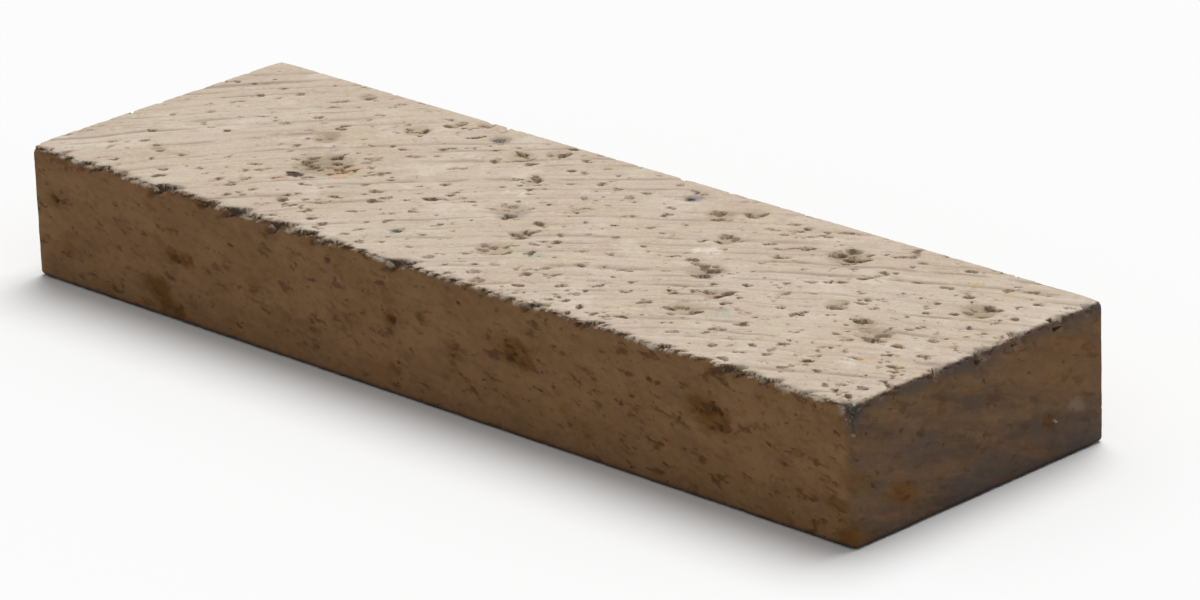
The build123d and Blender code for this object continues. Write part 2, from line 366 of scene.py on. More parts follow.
BLOTCHES = Cloud(30.0 * MM, 3.0, shift=(0.0, 0.0, 5.5))
WARM_BLOTCHES = Coat(0.0, (0.185, 0.088, 0.036), 0.53, 0.68, end_strength=0.40)
GREY_BLOTCHES = Coat(0.0, (0.074, 0.058, 0.050), 0.47, 0.34, end_strength=0.40)
# Painted shade: a dark grey strip just under the right end's upper arris, where the worn edge lies in shadow
STRIP_BEGINS, STRIP_FULL = 18.0 * MM, 4.0 * MM
PAINTED_END_TOP_SHADE = Coat(0.60, (0.066, 0.060, 0.060))
SIDE_MOTTLE = Cloud(11.0 * MM, shift=(2.2, 0.0, 0.0))
DARK_MOTTLE = Coat(0.22, (0.110, 0.055, 0.022), 0.50, 0.70)
LIGHT_MOTTLE = Coat(0.14, (0.260, 0.155, 0.082), 0.50, 0.30)
SIDE_VUG_DIRT = Coat(0.35, (0.135, 0.056, 0.010))
FLECKS = Cloud(17.0 * MM)
FLECK_SHIFT = (8.8, 0.0, 0.0)
FLECK_STRETCH = (0.65, 0.65, 0.9)
FLECKED_SIDE = Coat(0.80, (0.085, 0.038, 0.011), 0.57, 0.73, end_strength=0.60)
SIDE_RIM_DIRT = Coat(0.30, (0.115, 0.050, 0.011), end_strength=0.15)
SIDE_PIT_DIRT = Coat(0.58, (0.062, 0.022, 0.003), end_strength=0.33)
# Painted shadow: a near-black line along the foot of the sides, where the slab meets the floor
PAINTED_FOOT_SHADOW = Coat(0.80, (0.020, 0.014, 0.010), 7.0 * MM, 1.0 * MM)

# Colours of broken stone, painted shade in its chips and notches, and the grain of all of it
PAINTED_CHIP_SHADE = Coat(0.92, (0.052, 0.037, 0.026))
SPALL_GROUND = (0.072, 0.063, 0.058)
SPALL_CLOUDS = Cloud(8.0 * MM, 1.0, shift=(0.0, 6.1, 0.0))
SPALL_LUMPS = Coat(1.0, (0.42, 0.37, 0.31), 0.54, 0.61)
SPALL_SHOWN_LIMITS = (0.18, 0.55)
SPALL_STRENGTH = 0.85
GRAIN = Cloud(3.0 * MM, 4.0, 0.7)
GRAIN_SHADE = Coat(0.10, (0.050, 0.035, 0.025), 0.65, 0.35)
GRAIN_ROUGHNESS = (0.3, 0.7, 0.82, 0.96)
SPECULAR_LEVEL = 0.2
FINE_BUMPS, COARSE_BUMPS = Cloud(2.2 * MM, 4.0, 0.65), Cloud(7.0 * MM, 3.0)
FINE_BUMP_HEIGHT, COARSE_BUMP_HEIGHT = 0.5 * MM, 0.4 * MM
PIT_BUMP, MARK_BUMP, SCRATCH_BUMP = 0.8 * MM, 0.4 * MM, 0.3 * MM
BUMP_STRENGTH, BUMP_DISTANCE = 0.6, 1.0

# Camera, light and floor
CAMERA_TARGET = Vector((0.0700, 0.0081, 0.075))
CAMERA_DISTANCE = 6.311
CAMERA_AZIMUTH = math.radians(45.16)
CAMERA_ELEVATION = math.radians(20.56)
CAMERA_ROLL = math.radians(-2.0)
CAMERA_LENS = 183.3
SUN_FROM = (-0.15, 0.42, 1.0)
SUN_STRENGTH = 2.6
SUN_SPREAD = math.radians(40.0)
SKY_COLOUR = (1.0, 1.0, 1.0)
SKY_STRENGTH = 0.42
FLOOR_HALF_SIDE = 30.0
FLOOR_COLOUR = (0.83, 0.83, 0.83)
FLOOR_ROUGHNESS = 0.9

# Places of a node's outputs in their order
NOISE_COLOUR, CELL_COLOUR = 1, 1
OBJECT_GEOMETRY = 4
ATTRIBUTE_VECTOR, ATTRIBUTE_NUMBER = 1, 2


def on_bed(along, across):
    """A place on the upper bed, in millimetres from the left end and from the front."""
    return Vector((LOW.x + along * MM, LOW.y + across * MM, HIGH.z))


def on_front(along, above):
    """A place on the front, in millimetres from the left end and above the floor."""
    return Vector((LOW.x + along * MM, LOW.y, LOW.z + above * MM))


def on_end(across, above):
    """A place on the right end, in millimetres from the front and above the floor."""
    return Vector((HIGH.x, LOW.y + across * MM, LOW.z + above * MM))


def placed(on_face, entries):
    """The entries of a list, with the two measures of a place on a face made one point."""
    return [(on_face(first, second), *others) for first, second, *others in entries]


class Field:
    """A number or vector that varies over the stone: an output whose arithmetic adds nodes to its tree."""

    def __init__(self, graph, socket):
        self.graph = graph
        self.socket = socket

    def is_vector(self):
        return self.socket.type == "VECTOR"

    def combine(self, operation, first, second):
        if self.is_vector():
            return self.graph.vector(operation, first, second)
        return self.graph.math(operation, first, second)

    def __add__(self, other):
        return self.combine("ADD", self, other)

    def __sub__(self, other):
        return self.combine("SUBTRACT", self, other)

    def __rsub__(self, other):
        return self.combine("SUBTRACT", other, self)

    def __mul__(self, other):
        if self.is_vector():
            return self.graph.scaled(self, other)
        return self.graph.math("MULTIPLY", self, other)

    def __truediv__(self, other):
        return self.graph.math("DIVIDE", self, other)


class Graph:
    """Adds nodes to one geometry or shader tree and hands back their outputs as fields."""

    def __init__(self, tree):
        self.tree = tree

    def node(self, kind, *values, **settings):
        """A new node with its settings, and its first inputs set or linked in order."""
        node = self.tree.nodes.new(kind)
        for name, value in settings.items():
            setattr(node, name, value)
        for socket, value in zip((s for s in node.inputs if s.enabled), values):
            self.feed(socket, value)
        return node

    def feed(self, socket, value):
        if isinstance(value, Field):
            self.tree.links.new(value.socket, socket)
        elif value is not None:
            socket.default_value = value

    def out(self, node, output=0):
        return Field(self, [s for s in node.outputs if s.enabled][output])

    def math(self, operation, *values):
        return self.out(self.node("ShaderNodeMath", *values, operation=operation))

    def vector(self, operation, *values):
        return self.out(self.node("ShaderNodeVectorMath", *values, operation=operation))

    def scaled(self, vector, factor):
        node = self.node("ShaderNodeVectorMath", vector, operation="SCALE")
        self.feed(node.inputs["Scale"], factor)
        return self.out(node)

    def biggest(self, first, *others):
        for other in others:
            first = self.math("MAXIMUM", first, other)
        return first

    def smallest(self, first, *others):
        for other in others:
            first = self.math("MINIMUM", first, other)
        return first

    def ramp(self, value, start, end, low=0.0, high=1.0):
        """Eases from low to high as the value goes from start to end."""
        kind = "ShaderNodeMapRange"
        return self.out(self.node(kind, value, start, end, low, high, interpolation_type="SMOOTHSTEP"))

    def mix(self, share, first, second):
        return self.out(self.node("ShaderNodeMix", share, first, second, data_type="FLOAT"))

    def xyz(self, vector):
        node = self.node("ShaderNodeSeparateXYZ", vector)
        return [self.out(node, axis) for axis in range(3)]

    def from_xyz(self, x, y, z):
        return self.out(self.node("ShaderNodeCombineXYZ", x, y, z))

    def noise_node(self, place, cloud):
        if cloud.shift:
            place = place + cloud.shift
        return self.node("ShaderNodeTexNoise", place, 1.0 / cloud.size, cloud.detail, cloud.roughness)

    def noise(self, place, cloud):
        """A soft cloudy value about 0.5."""
        return self.out(self.noise_node(place, cloud))

    def warped(self, place, size, amount):
        """The place, pushed about by up to half the amount."""
        push = self.out(self.noise_node(place, Cloud(size)), NOISE_COLOUR)
        push = self.vector("SUBTRACT", push, (0.5, 0.5, 0.5))
        return place + push * amount

    def cells_along(self, run, spacing):
        """Distance to the nearest seed of a scatter along a line, and three random shares for that seed."""
        node = self.node("ShaderNodeTexVoronoi", run, 1.0 / spacing, voronoi_dimensions="1D")
        distance = self.out(node) * spacing
        return distance, self.xyz(self.out(node, CELL_COLOUR))


def new_tree(name, kind, inputs, outputs):
    """A named tree with its sockets; returns its graph, its inputs as fields by name, and its output node."""
    tree = bpy.data.node_groups.new(name, kind)
    for label, socket_type in inputs.items():
        tree.interface.new_socket(label, in_out="INPUT", socket_type=socket_type)
    for label, socket_type in outputs.items():
        tree.interface.new_socket(label, in_out="OUTPUT", socket_type=socket_type)
    graph = Graph(tree)
    entry = tree.nodes.new("NodeGroupInput")
    given = {label: graph.out(entry, index) for index, label in enumerate(inputs)}
    return graph, given, tree.nodes.new("NodeGroupOutput")


# Relief shared by the mesh and the material

def saw_arcs(graph, place):
    """The saw's own coordinates: distance from its middle, run along the arc, and a number for the bed."""
    x, y, z = graph.xyz(place)
    dx = x - SAW_CENTRE[0]
    dy = y - SAW_CENTRE[1]
    radius = graph.math("SQRT", dx * dx + dy * dy)
    run = graph.math("ARCTAN2", dy, dx) * SAW_MEAN_RADIUS
    bed = graph.math("ROUND", z / THICKNESS) * BEDS_APART
    return radius, run, bed


def saw_lines(graph, place, pitch, width, length):
    """Strength from 0 to 1 of single lines left by the saw, about one to a pitch and broken into lengths."""
    radius, run, bed = saw_arcs(graph, graph.warped(place, *SAW_WARP))
    across = radius / pitch
    along = run / length
    drift = graph.from_xyz(across * LINE_WANDER_ACROSS, along * LINE_WANDER_ALONG, bed)
    phase = across + (graph.noise(drift, EVEN_CLOUDS) - 0.5) * LINE_WANDER
    line = graph.math("ROUND", phase)
    offset = graph.math("ABSOLUTE", phase - line) * pitch
    lasting = graph.noise(graph.from_xyz(line * LINES_APART, along, bed), EVEN_CLOUDS)
    broken = graph.noise(graph.from_xyz(line * BREAKS_APART, along * BREAKS_IN_LENGTH, bed), EVEN_CLOUDS)
    shown = graph.ramp(lasting, *LASTING_LIMITS) * graph.ramp(broken, *BREAK_LIMITS)
    return graph.ramp(offset, width * 0.5, 0.0) * shown


def bedded(graph, place):
    """The place in the stone's own bedding: tilted, and stretched upright so that its forms come out flat."""
    return graph.from_xyz(*(graph.vector("DOT_PRODUCT", place, row) for row in BEDDING))


def opening(graph, place, sawn, vug, pore, edge):
    """How far the stone is open at a place: below 0 on a whole face, growing above 0 into a pit."""
    radius, run, bed = saw_arcs(graph, place)
    drawn = graph.from_xyz(radius * DRAWN_ACROSS, run * DRAWN_ALONG, bed)
    lying = bedded(graph, place) * LYING_STRETCH
    lying = graph.warped(lying + (drawn - lying) * sawn, *PIT_WARP)
    x, y, _ = graph.xyz(place)
    patches = (graph.noise(place, PIT_PATCHES) - 0.5) * MORE_IN_PATCHES
    drift = x / LENGTH * MORE_TO_RIGHT - y / WIDTH * LESS_TO_BACK
    more = patches + drift + edge * MORE_AT_EDGES
    coarse = graph.noise(lying, COARSE_PITS) - graph.mix(sawn, *COARSE_THRESHOLDS)
    coarse = coarse + vug * COARSE_MORE_IN_VUGS
    fine_noise = graph.noise(lying, FINE_PITS)
    fine = fine_noise - graph.mix(sawn, *FINE_THRESHOLDS) + vug * graph.mix(sawn, *FINE_MORE_IN_VUGS)
    marked = pore * PORE_STRENGTH - PORE_THRESHOLD + (fine_noise - 0.5) * PORE_UNEVENNESS
    return graph.biggest(coarse, fine, marked) + more


# Mesh

def marked_places(name, places):
    """A loose set of points, each with its reach in millimetres."""
    mesh = bpy.data.meshes.new(name)
    mesh.from_pydata([point for point, _ in places], [], [])
    reaches = mesh.attributes.new("reach", "FLOAT", "POINT")
    reaches.data.foreach_set("value", [reach * MM for _, reach in places])
    return bpy.data.objects.new(name, mesh)


def vug_places():
    places = placed(on_bed, BED_VUGS) + placed(on_front, FRONT_VUGS) + placed(on_end, END_VUGS)
    return marked_places("vug_places", places)


def pore_places():
    size = Vector((LENGTH, WIDTH)) / MM
    places = [(on_bed(along * size.x, across * size.y), PORE_REACH) for along, across in PORES]
    return marked_places("pore_places", places + placed(on_bed, BED_SLOTS))


def notch_places():
    top = THICKNESS / MM
    places = [(on_front(along, top), reach) for along, reach in FRONT_NOTCHES]
    places += [(on_end(across, top), reach) for across, reach in END_NOTCHES]
    return marked_places("notch_places", places)


def nearest_share(graph, marked, place, narrowing=1.0):
    """Distance to the nearest marked place, as a share of its reach, narrowed across the saw's arcs."""
    points = graph.out(graph.node("GeometryNodeObjectInfo", marked), OBJECT_GEOMETRY)
    index = graph.out(graph.node("GeometryNodeSampleNearest", points, place))
    position = graph.out(graph.node("GeometryNodeInputPosition"))
    sample = "GeometryNodeSampleIndex"
    middle = graph.out(graph.node(sample, points, position, index, data_type="FLOAT_VECTOR"))
    named = graph.out(graph.node("GeometryNodeInputNamedAttribute", "reach", data_type="FLOAT"))
    reach = graph.out(graph.node(sample, points, named, index, data_type="FLOAT"))
    apart = place - middle
    from_centre = place - (*SAW_CENTRE, 0.0)
    level = graph.vector("MULTIPLY", from_centre, (1.0, 1.0, 0.0))
    outward = graph.vector("NORMALIZE", level)
    narrowed = apart + outward * (graph.vector("DOT_PRODUCT", apart, outward) * (narrowing - 1.0))
    return graph.out(graph.node("ShaderNodeVectorMath", narrowed, operation="LENGTH")) / reach


FORM_INPUTS = {
    "Length": ("NodeSocketFloat", LENGTH),
    "Width": ("NodeSocketFloat", WIDTH),
    "Thickness": ("NodeSocketFloat", THICKNESS),
    "Grid Step": ("NodeSocketFloat", GRID_STEP),
    "Arris Radius": ("NodeSocketFloat", ARRIS_RADIUS),
    "Corner Radius": ("NodeSocketFloat", CORNER_RADIUS),
    "Notch Depth": ("NodeSocketFloat", NOTCH_DEPTH),
    "Chip Depth": ("NodeSocketFloat", CHIP_DEPTH),
    "Ragged Depth": ("NodeSocketFloat", RAGGED_DEPTH),
    "Spall Radius": ("NodeSocketFloat", SPALL_RADIUS),
    "Spall Depth": ("NodeSocketFloat", SPALL_DEPTH),
    "Mark Depth": ("NodeSocketFloat", MARK_DEPTH),
    "Scratch Depth": ("NodeSocketFloat", SCRATCH_DEPTH),
    "Pit Depth": ("NodeSocketFloat", PIT_DEPTH),
    "Vug Depth": ("NodeSocketFloat", VUG_DEPTH),
    "Vug Places": ("NodeSocketObject", None),
    "Pore Places": ("NodeSocketObject", None),
    "Notch Places": ("NodeSocketObject", None),
    "Seed": ("NodeSocketFloat", SEED),
    "Stone": ("NodeSocketMaterial", None),
}


def slab_form():
    """The tree that makes the slab: an even block, rounded, then worn, sawn and pitted inwards."""
    sockets = {label: kind for label, (kind, _) in FORM_INPUTS.items()}
    outputs = {"Slab": "NodeSocketGeometry"}
    graph, given, result = new_tree("tuff_slab_form", "GeometryNodeTree", sockets, outputs)
    size = graph.from_xyz(given["Length"], given["Width"], given["Thickness"])
    sides = [given[side] for side in ("Length", "Width", "Thickness")]
    counts = [side / given["Grid Step"] + (1.0 + ROUNDING) for side in sides]
    block = graph.node("GeometryNodeMeshCube", size, *counts)
    middle = graph.from_xyz(0.0, 0.0, given["Thickness"] * 0.5)
    raised = graph.node("GeometryNodeTransform", graph.out(block), middle)

    place = graph.out(graph.node("GeometryNodeInputPosition"))
    x, y, z = graph.xyz(place)
    seed_shift = graph.scaled(SEED_DIRECTION, given["Seed"])
    shifted = place + seed_shift
    half = size * 0.5
    from_middle = place - middle
    inset_x, inset_y, _ = graph.xyz(half - graph.vector("ABSOLUTE", from_middle))
    inset = graph.smallest(inset_x, inset_y)
    to_top = given["Thickness"] - z
    to_front = y + given["Width"] * 0.5

    # Edges: distance from the upper and lower arrises and from the upright corners, and the wear of each side
    to_upper_arris = graph.biggest(to_top, inset)
    to_lower_arris = graph.biggest(z, inset)
    to_upright = graph.biggest(inset_x, inset_y)
    front_wear = graph.ramp(x / given["Length"], *FRONT_WEAR_SHARES, FRONT_LEFT_WEAR, FRONT_RIGHT_WEAR)
    front = graph.ramp(to_front, WEAR_REACH, 0.0) * front_wear
    back = graph.ramp(given["Width"] * 0.5 - y, WEAR_REACH, 0.0) * BACK_WEAR
    right = graph.ramp(given["Length"] * 0.5 - x, WEAR_REACH, 0.0) * RIGHT_WEAR
    left = graph.ramp(x + given["Length"] * 0.5, WEAR_REACH, 0.0) * LEFT_WEAR
    upper_wear = graph.biggest(front, back, right, left)

    # Round the block: pull each point to its radius from an inner box
    corner_share = graph.ramp(to_upright, WEAR_REACH, 0.0)
    radius = given["Arris Radius"] + corner_share * (given["Corner Radius"] - given["Arris Radius"])
    inner = half - graph.from_xyz(radius, radius, radius)
    core = graph.vector("MAXIMUM", from_middle, inner * -1.0)
    core = graph.vector("MINIMUM", core, inner)
    outward = graph.vector("NORMALIZE", from_middle - core)
    rounded = core + outward * radius + middle

    # Along the upper arrises everything slants with the saw's marks
    on_long_side = graph.math("LESS_THAN", inset_y, inset_x)
    slant = graph.mix(on_long_side, (inset + to_top) * END_SLANT, (to_top - inset) * FRONT_SLANT)
    slanted = place + graph.from_xyz(slant * on_long_side, slant * (1.0 - on_long_side), 0.0)
    run = graph.mix(on_long_side, y, x) + slant
    run = run + (graph.noise(shifted, RUN_CLOUDS) - 0.5) * RUN_WANDER
    run = run + graph.math("SIGN", x + y) * SIDES_APART

    # Notches at their places, and small chips between them
    rough_place = graph.warped(slanted + seed_shift, *NOTCH_WARP) - seed_shift
    notch = graph.ramp(nearest_share(graph, given["Notch Places"], rough_place), *NOTCH_LIMITS)
    chip_along, (chip_chance, chip_bulk, chip_deep) = graph.cells_along(run, CHIP_SPACING)
    half_length = graph.mix(chip_bulk, CHIP_LENGTH_LEAST * 0.5, CHIP_LENGTH_MOST * 0.5)
    chip_reach = graph.mix(chip_bulk, CHIP_REACH_LEAST, CHIP_REACH_MOST)
    chip = graph.ramp(chip_along, half_length, half_length * CHIP_FLOOR_SHARE)
    chip = chip * graph.mix(chip_deep, CHIP_DEPTH_LEAST_SHARE, 1.0)
    upper_chip = chip * graph.ramp(to_upper_arris, chip_reach, CHIP_FLOOR_REACH)
    upper_chip = upper_chip * graph.ramp(upper_wear - chip_chance, *CHIP_CHANCE_LIMITS)
    broken_off = graph.biggest(upper_chip, notch)

    # Ragged strands and a slow waviness of the arrises, and the spalled corner
    strand_place = graph.from_xyz(run, to_upper_arris * STRAND_STRETCH, to_lower_arris * STRAND_STRETCH)
    ragged = graph.ramp(graph.noise(strand_place, STRANDS), *RAGGED_LIMITS)
    rough_front = graph.ramp(to_front, *ROUGH_FRONT_LIMITS)
    wavy = graph.noise(shifted, WAVES)
    upper_edge = graph.ramp(to_upper_arris, RAGGED_REACH, 0.0)
    upper_share = upper_wear * (1.0 - RAGGED_LEAST) + RAGGED_LEAST
    uneven_edge = ragged + graph.ramp(wavy, *WAVE_LIMITS) * WAVE_SHARE
    upper_ragged = uneven_edge * upper_edge * rough_front * upper_share
    lower_ragged = ragged * graph.ramp(to_lower_arris, RAGGED_REACH, 0.0) * LOWER_WEAR
    corner = graph.from_xyz(given["Length"] * 0.5, given["Width"] * -0.5, given["Thickness"])
    to_corner = graph.out(graph.node("ShaderNodeVectorMath", place, corner, operation="DISTANCE"))
    spall_edge = to_corner + (wavy - ragged * SPALL_TEETH) * SPALL_WANDER
    spall = graph.ramp(spall_edge, given["Spall Radius"] + SPALL_FADE, SPALL_FLOOR)
    chip_bite = upper_chip * given["Chip Depth"] + (upper_ragged + lower_ragged) * given["Ragged Depth"]
    chip_bite = graph.biggest(chip_bite, notch * given["Notch Depth"]) + spall * given["Spall Depth"]

    # Which points lie on a sawn bed face, up to its ragged edge
    overhang = (TOOTH_MIDDLE - ragged) * rough_front * TOOTH_LENGTH + (wavy - 0.5) * SKIN_WANDER
    overhang = overhang - right * RIGHT_SETBACK - broken_off * CHIP_SETBACK - spall * SPALL_SETBACK
    ragged_edge = inset - to_top + overhang
    lower_edge = inset - z - LOWER_SETBACK
    sawn = graph.ramp(graph.biggest(ragged_edge, lower_edge), *SKIN_LIMITS)

    # Vugs and main pores at their places
    uneven = graph.warped(shifted, *VUG_WARP) - seed_shift
    vug = graph.ramp(nearest_share(graph, given["Vug Places"], uneven), *VUG_LIMITS)
    pore = graph.ramp(nearest_share(graph, given["Pore Places"], uneven, PIT_NARROWING), *PORE_LIMITS)

    # Pits, shallower on the sides and the lower bed
    edge = graph.ramp(to_upper_arris, EDGE_REACH, 0.0) * upper_wear
    open_depth = graph.ramp(opening(graph, place, sawn, vug, pore, edge), *PIT_LIMITS)
    plainness = graph.ramp(z, *PLAIN_BELOW_LIMITS)
    depth_share = graph.mix(sawn, SIDE_DEPTH_SHARE, 1.0) * plainness
    pit_bite = open_depth * (vug * VUG_DEEPER_PITS + 1.0) * depth_share * given["Pit Depth"]
    vug_bite = vug * depth_share * given["Vug Depth"]

    # Saw marks on the beds, and a gentle unevenness on the sides
    marks = saw_lines(graph, place, MARK_PITCH, MARK_WIDTH, MARK_LENGTH) * given["Mark Depth"]
    scratches = saw_lines(graph, place, SCRATCH_PITCH, SCRATCH_WIDTH, SCRATCH_LENGTH) * given["Scratch Depth"]
    unevenness = graph.noise(bedded(graph, shifted), UNEVENNESS) * UNEVENNESS_DEPTH
    face_bite = graph.mix(sawn, unevenness, (marks + scratches) * plainness)

    bite = chip_bite + pit_bite + vug_bite + face_bite
    carved = graph.node("GeometryNodeSetPosition", graph.out(raised), None, rounded - outward * bite)

    # What the material reads
    # Chips, notches and the gaps between strands carry painted shade in the material
    gaps = graph.ramp(ragged, *GAP_LIMITS) * upper_edge * upper_wear * upper_wear * rough_front * GAP_STRENGTH
    chipped = graph.biggest(graph.ramp(broken_off, *CHIP_SHOWN_LIMITS), gaps)
    kept = {"place": place, "sawn": sawn, "vug": vug, "pore": pore, "edge": edge}
    kept |= {"chip": chipped, "spall": spall}
    finished = graph.out(carved)
    store = "GeometryNodeStoreNamedAttribute"
    for name, value in kept.items():
        data_type = "FLOAT_VECTOR" if value.is_vector() else "FLOAT"
        stored = graph.node(store, finished, None, name, value, data_type=data_type, domain="POINT")
        finished = graph.out(stored)
    finished = graph.out(graph.node("GeometryNodeSetShadeSmooth", finished))
    finished = graph.out(graph.node("GeometryNodeRealizeInstances", finished))
    finished = graph.out(graph.node("GeometryNodeSetMaterial", finished, None, given["Stone"]))
    graph.feed(result.inputs[0], finished)
    return graph.tree


def grid_triangles():
    """Triangles of the even block before thinning."""
    nx, ny, nz = (int(side / GRID_STEP + ROUNDING) for side in (LENGTH, WIDTH, THICKNESS))
    squares = 2 * (nx * ny + ny * nz + nz * nx)
    return 2 * squares


def make_slab(stone):
    """The slab as one plain mesh."""
    scene = bpy.context.scene
    helpers = {"Vug Places": vug_places(), "Pore Places": pore_places(), "Notch Places": notch_places()}
    blank = bpy.data.objects.new("slab_blank", bpy.data.meshes.new("slab_blank"))
    scene.collection.objects.link(blank)
    for helper in helpers.values():
        scene.collection.objects.link(helper)
    form = blank.modifiers.new("form", "NODES")
    form.node_group = slab_form()
    values = {label: value for label, (_, value) in FORM_INPUTS.items()} | helpers | {"Stone": stone}
    for item in form.node_group.interface.items_tree:
        if item.in_out == "INPUT":
            form[item.identifier] = values[item.name]
    thinned = blank.modifiers.new("thinned", "DECIMATE")
    thinned.ratio = min(1.0, MOST_TRIANGLES / grid_triangles())
    thinned.use_collapse_triangulate = True
    evaluated = blank.evaluated_get(bpy.context.evaluated_depsgraph_get())
    mesh = bpy.data.meshes.new_from_object(evaluated)
    for spent in (blank, *helpers.values()):
        bpy.data.objects.remove(spent)
    mesh.name = "tuff_slab"
    slab = bpy.data.objects.new("sawn_tuff_slab", mesh)
    scene.collection.objects.link(slab)
    return slab


# Materials

def opaque(tint):
    return (*tint, 1.0)


def paint(graph, share, first, second):
    """A colour between two, each a field or a plain tint."""
    colours = [tint if isinstance(tint, Field) else opaque(tint) for tint in (first, second)]
    return graph.out(graph.node("ShaderNodeMix", share, *colours, data_type="RGBA", clamp_factor=True))


def coated(graph, stone, value, coat, at_end=None):
    """The stone with one coat of colour, laid on as a value says."""
    if coat.full is not None:
        value = graph.ramp(value, coat.begins, coat.full)
    strength = coat.strength
    if coat.end_strength is not None:
        strength = at_end * (coat.end_strength - coat.strength) + coat.strength
    return paint(graph, value * strength, stone, coat.tint)


def stained(graph, stone, lying, stains):
    """The stone with soft stains, each given as middle, reach, colour and strength."""
    patchy = graph.ramp(graph.noise(lying, STAIN_CLOUDS), *STAIN_LIMITS)
    for middle, reach, tint, strength in stains:
        lying_middle = BEDDING @ middle
        distance = graph.out(graph.node("ShaderNodeVectorMath", lying, lying_middle, operation="DISTANCE"))
        stain = graph.ramp(distance, reach * MM, reach * MM * STAIN_FULL_SHARE) * patchy
        stone = paint(graph, stain * strength, stone, tint)
    return stone


class Surface:
    """What the material reads from the mesh, and the forms that it works out from that."""

    def __init__(self, graph):
        self.place = graph.out(graph.node("ShaderNodeAttribute", attribute_name="place"), ATTRIBUTE_VECTOR)
        self.sawn, self.vug, self.pore, self.edge, self.chip, self.spall = (
            graph.out(graph.node("ShaderNodeAttribute", attribute_name=name), ATTRIBUTE_NUMBER)
            for name in ("sawn", "vug", "pore", "edge", "chip", "spall")
        )
        self.lying = bedded(graph, self.place)
        self.blurred = graph.warped(self.lying, *STAIN_WARP)
        self.open_depth = opening(graph, self.place, self.sawn, self.vug, self.pore, self.edge)
        self.rim = graph.ramp(self.open_depth, *RIM_LIMITS)
        self.core = graph.ramp(self.open_depth, *CORE_LIMITS)
        self.marks = saw_lines(graph, self.place, MARK_PITCH, MARK_WIDTH, MARK_LENGTH)
        self.scratches = saw_lines(graph, self.place, SCRATCH_PITCH, SCRATCH_WIDTH, SCRATCH_LENGTH)


def bed_colour(graph, surface):
    """Pale sawn beds: clouds, combing along the saw's arcs, grains, stains, and painted shade in the saw marks,
    vugs and pits.
    """
    place, vug = surface.place, surface.vug
    bed = coated(graph, BED_DULL, graph.noise(place, BED_CLOUDS), BED_LIGHT)
    hues = graph.noise(place, BED_HUES)
    bed = coated(graph, bed, hues, BED_YELLOWISH)
    bed = coated(graph, bed, hues, BED_ROSY)
    bed = coated(graph, bed, graph.noise(place, BED_PATCHES), BED_PALE)
    radius, run, number = saw_arcs(graph, graph.warped(place, *SAW_WARP))
    comb_place = graph.from_xyz(radius / COMBING_WIDTH, run / COMBING_LENGTH, number)
    combing = graph.noise(comb_place, COMBING)
    bed = coated(graph, bed, combing, COMBED_DARK)
    bed = coated(graph, bed, combing, COMBED_LIGHT)
    bed = coated(graph, bed, graph.noise(place, BED_MOTTLE), MOTTLED_BED)
    bed = coated(graph, bed, graph.noise(place, BED_GRAINS), LIGHT_GRAINS)
    # Painted shade in the saw marks and scratches
    bed = coated(graph, bed, surface.marks, PAINTED_MARK_SHADE)
    bed = coated(graph, bed, surface.scratches, PAINTED_SCRATCH_SHADE)
    # Painted shade over the vugs
    bed = coated(graph, bed, vug, PAINTED_VUG_SHADE)
    bed = stained(graph, bed, surface.blurred, placed(on_bed, BED_STAINS))
    # Painted shade on the rims and cores of the pits
    bed = coated(graph, bed, surface.rim, PAINTED_RIM_SHADE)
    faint = graph.ramp(graph.noise(place, FAINT_PITS), *FAINT_LIMITS)
    return coated(graph, bed, surface.core * graph.biggest(faint, vug * VUG_PIT_SHADE), PAINTED_PIT_SHADE)


